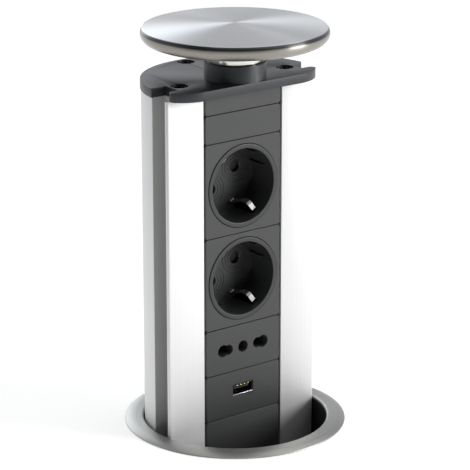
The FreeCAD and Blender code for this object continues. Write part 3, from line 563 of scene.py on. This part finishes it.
makeTopPlate()
softNode("column_profile", finishes["column"], width=0.18, name="column_extruded")
topHeads = [screwShape(x, y, plate["top"] - plate["sink"], True) for x, y in screwSpots]
finishPiece(joinedShape(topHeads), "screws_top", finishes["screw"], "top_screws")
endHeads = [screwShape(x, y, endFace, False) for x, y in screwSpots]
finishPiece(joinedShape(endHeads), "screws_end", finishes["zinc"], "end_screws")
softNode("end_plate", finishes["base"], width=0.3)
print("column and plates made")


# Panel modules

panel = {"edge": 0.3, "half": 24.5, "notch": 1.2, "notchHalf": 0.8, "notchDeep": 3.0, "notchPast": 1.5,
         "seams": (4, 29, 54, 104, 154, 169), "seamNear": 1}
# groove holds steps out from a ring: where its floor starts and ends, and its mouth
insert = {"recess": 19.65, "deep": 17.5, "cup": 21.2, "back": 19.5, "bezel": 22.0, "rise": 0.35,
          "foot": 0.6, "rounds": {2: 0.3, 3: 0.25}, "gap": 22.3, "gapDeep": 3,
          "pin": 3.0, "pinHalf": 9.5, "mouth": ((0.9, -0.5), (-0.3, 0.7)),
          "rings": (4.4, 6.2, 8.0), "groove": (0.2, 0.6, 0.8), "grooveDeep": 0.22,
          "slotHalf": 2.1, "slotFront": 3.9, "slot": (18.65, 22.65),
          "chord": 13.2, "low": 19.1, "wellReach": 30, "wellGap": 0.02,
          "rib": (3.7, 5.35), "ribFront": 4.0, "ribLead": 2.6, "ribTop": (18.15, 19.3), "ribFoot": 20.4,
          "ribShort": 0.5, "ribEdge": 0.2, "post": 1.6, "postBack": 21.6, "postBite": 0.1}
# bow holds (distance from the middle, depth)
strap = {"half": 1.3, "thick": 0.5, "bend": 1.2, "upperLeast": 15.2,
         "bow": ((17.3, 19.2), (16.9, 16.8), (15.3, 13.0), (13.9, 10.5), (13.6, 8.5), (13.8, 5.3),
                 (18.2, 4.2)),
         "tab": ((-3.6, 15.9, 12.9), (-1.2, 17.9, 13.8)), "tabEdge": 0.15}
threePin = {"middle": 41.5, "deep": 13, "centre": 3.12, "large": 3.32, "small": 2.82, "outerAt": 13.0,
            "innerAt": 9.5, "edge": 0.2}
port = {"half": 6.55, "wall": 0.4, "front": -6.4, "back": 7.6, "low": 14.85, "high": 20.85, "edge": 0.06,
        "sill": 0.6, "sillFront": -6.7, "sillEdge": 0.08,
        "tip": 19.9, "tipTall": 0.5, "tipHalf": 0.45, "tipBack": -3.0, "tipEdge": 0.1,
        "pitch": 2.4, "steps": (-1.5, -0.5, 0.5, 1.5)}


def notchTools(node):
    # Small clip notches where a seam meets the column, on the right side only as in the photo
    heights = [(nodes[node].matrix_world @ Vector(corner)).z / mm for corner in nodes[node].bound_box]
    low, high = min(heights) - panel["seamNear"], max(heights) + panel["seamNear"]
    seams = [seam for seam in panel["seams"] if low < seam < high]
    return [blockShape((panel["half"] - panel["notch"], panelFront - past, seam - panel["notchHalf"]),
                       (panel["half"] + panel["notchPast"], panelFront + panel["notchDeep"],
                        seam + panel["notchHalf"]))
            for seam in seams]


def pinTools(side):
    # A pin hole with its wider mouth, and the fine rings round it in the floor
    deep, pin = insert["deep"], insert["pin"]
    (wide, start), (tight, end) = insert["mouth"]
    shapes = [roundBar(pin, deep - past, insert["back"] + past, axis="Y", steps=48),
              turnedShape([(0, deep + start), (pin + wide, deep + start), (pin + tight, deep + end),
                           (0, deep + end)], axis="Y", steps=48)]
    floorStart, floorEnd, mouth = insert["groove"]
    for radius in insert["rings"]:
        bottom = deep + insert["grooveDeep"]
        shapes.append(turnedShape([(radius, deep - past), (radius + mouth, deep - past),
                                   (radius + floorEnd, bottom), (radius + floorStart, bottom)],
                                  axis="Y", steps=64))
    return [movedShape(shape, side * insert["pinHalf"]) for shape in shapes]


def slotTool(side):
    near, far = sorted(side * edge for edge in insert["slot"])
    return blockShape((-insert["slotHalf"], insert["slotFront"], near),
                      (insert["slotHalf"], insert["back"] + past, far))


def wellTool(side):
    # The floor lies deeper beyond a chord at each side
    chord, edge = sorted((side * insert["chord"], side * insert["cup"]))
    reach = insert["wellReach"]
    block = blockShape((-reach, insert["deep"] - past, chord), (reach, insert["low"], edge))
    bar = roundBar(insert["recess"] - insert["wellGap"], 0, reach, axis="Y", steps=128)
    return carvedShape(block, [bar], "INTERSECT")


def ribShapes(side):
    # Two guide ribs beside a slot, with a sloped lead
    inner, start = [side * radius for radius in insert["ribTop"]]
    foot = side * insert["ribFoot"]
    front, back = insert["ribFront"], insert["back"] - insert["ribShort"]
    lead = front + insert["ribLead"]
    corners = [(foot, front), (start, front), (inner, lead), (inner, back), (foot, back)]
    low, high = insert["rib"]
    spans = ((low, high), (-high, -low))
    return [softEdges(outlineShape(corners, *span), insert["ribEdge"]) for span in spans]


def makeInsert(name):
    # The recess with its floor rings, pin holes, guide ribs and the slots of the earth strap
    deep, back, rise, foot = insert["deep"], insert["back"], insert["rise"], insert["foot"]
    shell = turnedShape([
        (0, deep), (insert["recess"], deep), (insert["recess"], -rise), (insert["bezel"], -rise),
        (insert["bezel"], foot), (insert["cup"], foot), (insert["cup"], back), (0, back)],
        axis="Y", rounds=insert["rounds"])
    tools = []
    for side in sides:
        tools += pinTools(side) + [slotTool(side), wellTool(side)]
    shapes = [carvedShape(shell, tools)]
    for side in sides:
        shapes += ribShapes(side)
    shapes.append(roundBar(insert["post"], back - insert["postBite"], insert["postBack"], axis="Y", steps=32))
    shape = turnToPanel(joinedShape(shapes), pinTurn, socketMiddles[name])
    finishPiece(shape, name + "_recess", finishes["insert"], name + "_insert", smoothBelow=34)


def bowShape(side):
    # Half of the strap: a strip that bows into the recess. The upper bow stays nearer to the wall
    bm = bmesh.new()
    least = strap["upperLeast"] if side > 0 else 0
    verts = [bm.verts.new((-strap["half"], depth, side * max(radius, least)))
             for radius, depth in strap["bow"]]
    for pair in zip(verts, verts[1:]):
        bm.edges.new(pair)
    for vert in verts[1:-1]:
        roundCorner(bm, vert, strap["bend"])
    grown = bmesh.ops.extrude_edge_only(bm, edges=list(bm.edges))
    across = [item for item in grown["geom"] if isinstance(item, bmesh.types.BMVert)]
    bmesh.ops.translate(bm, verts=across, vec=(2 * strap["half"], 0, 0))
    bmesh.ops.recalc_face_normals(bm, faces=list(bm.faces))
    bmesh.ops.solidify(bm, geom=list(bm.faces), thickness=strap["thick"])
    bmesh.ops.recalc_face_normals(bm, faces=list(bm.faces))
    return bm


def tabShape(side):
    low, high = strap["tab"]
    bottom, top = sorted((side * low[2], side * high[2]))
    return softEdges(blockShape((*low[:2], bottom), (*high[:2], top)), strap["tabEdge"])


def makeStrap(name):
    shapes = []
    for side in sides:
        shapes += [bowShape(side), tabShape(side)]
    shape = turnToPanel(joinedShape(shapes), pinTurn, socketMiddles[name])
    finishPiece(shape, name + "_strip", finishes["strap"], name + "_earth_strap", smoothBelow=40)


def makeSocketFace(name):
    opening = roundBar(insert["gap"], -past, insert["gapDeep"], axis="Y", steps=128)
    movedShape(opening, 0, panelFront, socketMiddles[name])
    tools = [opening] + notchTools(name + "_face")
    softNode(name + "_face", finishes["panel"], panel["edge"], tools=tools, name=name + "_frame")


def makeThreePin():
    # A centre hole, and at each side a large and a small hole that run together
    spots = [(0, threePin["centre"])]
    for side in sides:
        spots += [(side * threePin["outerAt"], threePin["large"]),
                  (side * threePin["innerAt"], threePin["small"])]
    holes = [movedShape(roundBar(radius, -past, threePin["deep"], axis="Y", steps=48), x, panelFront,
                        threePin["middle"]) for x, radius in spots]
    tools = holes + notchTools("three_pin_face")
    softNode("three_pin_face", finishes["panel"], threePin["edge"], tools=tools, name="three_pin_front")


def tipShape(step):
    middle = step * port["pitch"]
    tip = blockShape((middle - port["tipHalf"], port["sillFront"], port["tip"]),
                     (middle + port["tipHalf"], port["tipBack"], port["tip"] + port["tipTall"]))
    return softEdges(tip, port["tipEdge"])


def makePort():
    # A thin shell darkened with painted shade, a lower wall in the metal's own bright tone, and the contact
    # tips under its upper wall
    half, wall, low, back = port["half"], port["wall"], port["low"], port["back"]
    outer = blockShape((-half, port["front"], low), (half, back, port["high"]))
    hollow = blockShape((-half + wall, port["front"] - past, low - past),
                        (half - wall, back - wall, port["high"] - wall))
    shell = softEdges(carvedShape(outer, [hollow]), port["edge"], segments=1)
    finishPiece(shell, "port_shell_painted_shade", finishes["paintedShadeShell"], "port_shell")
    sill = blockShape((-half, port["sillFront"], low), (half, back - wall, low + port["sill"]))
    finishPiece(softEdges(sill, port["sillEdge"]), "port_shell_sill", finishes["shell"], "port_shell")
    strips = joinedShape([copiedNode("port_contacts")] + [tipShape(step) for step in port["steps"]])
    finishPiece(strips, "port_strips", finishes["gold"], "port_contacts")


for name in socketMiddles:
    makeSocketFace(name)
    makeInsert(name)
    makeStrap(name)
    softNode(name + "_shutter", finishes["shutter"], width=0.15)
    softNode(name + "_contacts", finishes["brass"], width=0.1, segments=1)
    softNode(name + "_base", finishes["base"], width=0.3)
makeThreePin()
for name in ("top_strip", "blank_strip", "lower_blank", "charging_face"):
    softNode(name, finishes["panel"], panel["edge"], tools=notchTools(name))
makePort()

plainParts = {"port_tongue": "tongue", "three_pin_shutter": "shutter", "three_pin_contacts": "brass",
              "three_pin_base": "base", "charging_base": "base", "charger_board": "board",
              "charger_transformer": "coil", "charger_capacitors": "can", "terminal_block": "block",
              "left_glide": "slide", "right_glide": "slide", "left_glide_spring": "spring",
              "right_glide_spring": "spring"}
for name, finish in plainParts.items():
    softNode(name, finishes[finish], width=0.1)
print("modules made")


# Stage, light and camera. These places and sizes are in metres, but for the floor's, which are in mm

floorLook = {"hole": 51.0, "reach": 4000.0, "level": -0.05, "colour": (0.94, 0.935, 0.92), "rough": 0.9,
             "glow": 0.44}
# Each span holds the cosines to its direction between which that part of the room fades in
studio = {"horizon": (0.74, 0.75, 0.77), "overhead": (0.32, 0.33, 0.35), "overheadSpan": (0.2, 0.6),
          "bright": (2.15, 2.25, 2.36), "brightSide": (0.171, 0.936, 0.31), "brightSpan": (0.90, 0.978),
          "dark": 0.06, "darkSide": (-0.70, -0.62, 0.34), "darkSpan": (0.2, 0.9), "belowSpan": (-0.3, -0.05)}
lamps = {
    "top": {"at": (0.3, -0.2, 1.6), "aim": (0, 0, 0.1), "size": (2.4, 2.2), "power": 13},
    "right": {"at": (1.35, -1.45, 0.62), "aim": (0, 0, 0.05), "size": (0.8, 0.9), "power": 23},
}
camera = {"azimuth": -37.45, "away": 1.14136, "high": 0.46335, "pitch": 17.626, "lens": 177.24, "sensor": 36}


def makeFloor():
    # A pale sheet with a hole for the sleeve
    bm = bmesh.new()
    bmesh.ops.create_circle(bm, cap_ends=False, segments=128, radius=floorLook["hole"])
    bmesh.ops.create_circle(bm, cap_ends=False, segments=128, radius=floorLook["reach"])
    bmesh.ops.bridge_loops(bm, edges=list(bm.edges))
    movedShape(bm, z=floorLook["level"])
    bmesh.ops.scale(bm, verts=list(bm.verts), vec=(mm, mm, mm))
    bmesh.ops.recalc_face_normals(bm, faces=list(bm.faces))
    floor = newObject(bm, "floor")
    colour = floorLook["colour"]
    material = newFinish("floor_pale", colour, metallic=0, roughness=floorLook["rough"],
                         Emission_Color=(*colour, 1), Emission_Strength=floorLook["glow"])[0]
    floor.data.materials.append(material)


def makeLamp(name, look):
    light = bpy.data.lights.new(name, "AREA")
    light.shape = "RECTANGLE"
    light.size, light.size_y = look["size"]
    light.energy = look["power"]
    lamp = bpy.data.objects.new(name, light)
    lamp.location = look["at"]
    lamp.rotation_euler = (Vector(look["aim"]) - Vector(look["at"])).to_track_quat("-Z", "Y").to_euler()
    bpy.context.scene.collection.objects.link(lamp)


def worldSide(tree, sky, direction, span, result=(0, 1)):
    # Fades from the first result to the second towards a direction
    towards = addNode(tree, "ShaderNodeVectorMath", [(0, sky)], operation="DOT_PRODUCT")
    towards.inputs[1].default_value = Vector(direction).normalized()
    fade = addRange(tree, towards.outputs["Value"], span, result, interpolation_type="SMOOTHSTEP")
    return fade.outputs["Result"]


def makeWorld():
    # A pale horizon, a dimmer ceiling, a dark room behind the camera, a soft bright side and nothing below
    world = bpy.data.worlds.new("studio")
    bpy.context.scene.world = world
    world.use_nodes = True
    tree = world.node_tree
    sky = addNode(tree, "ShaderNodeTexCoord").outputs["Generated"]
    up = (0, 0, 1)
    height = worldSide(tree, sky, up, studio["overheadSpan"])
    shade = addNode(tree, "ShaderNodeMix", [("Factor", height)], data_type="RGBA")
    shade.inputs["A"].default_value = (*studio["horizon"], 1)
    shade.inputs["B"].default_value = (*studio["overhead"], 1)
    bright = worldSide(tree, sky, studio["brightSide"], studio["brightSpan"])
    glow = addNode(tree, "ShaderNodeMix", [("Factor", bright)], data_type="RGBA")
    glow.inputs["B"].default_value = (*studio["bright"], 1)
    tree.links.new(shade.outputs["Result"], glow.inputs["A"])
    dark = worldSide(tree, sky, studio["darkSide"], studio["darkSpan"], (1, studio["dark"]))
    below = worldSide(tree, sky, up, studio["belowSpan"])
    power = addNode(tree, "ShaderNodeMath", [(0, dark), (1, below)], operation="MULTIPLY")
    background = tree.nodes["Background"]
    tree.links.new(glow.outputs["Result"], background.inputs["Color"])
    tree.links.new(power.outputs["Value"], background.inputs["Strength"])


def makeCamera():
    # It stands where the photo was taken and looks down, where the photo has a level view and a shifted frame
    data = bpy.data.cameras.new("view")
    data.lens = camera["lens"]
    data.sensor_width = camera["sensor"]
    view = bpy.data.objects.new("view", data)
    azimuth = math.radians(camera["azimuth"])
    view.location = (camera["away"] * math.sin(azimuth), -camera["away"] * math.cos(azimuth), camera["high"])
    view.rotation_euler = (math.radians(90 - camera["pitch"]), 0, azimuth)
    bpy.context.scene.collection.objects.link(view)
    bpy.context.scene.camera = view
    bpy.context.scene.view_settings.view_transform = "Standard"


makeFloor()
for name, look in lamps.items():
    makeLamp(name, look)
makeWorld()
makeCamera()
print("stage, light and camera made")
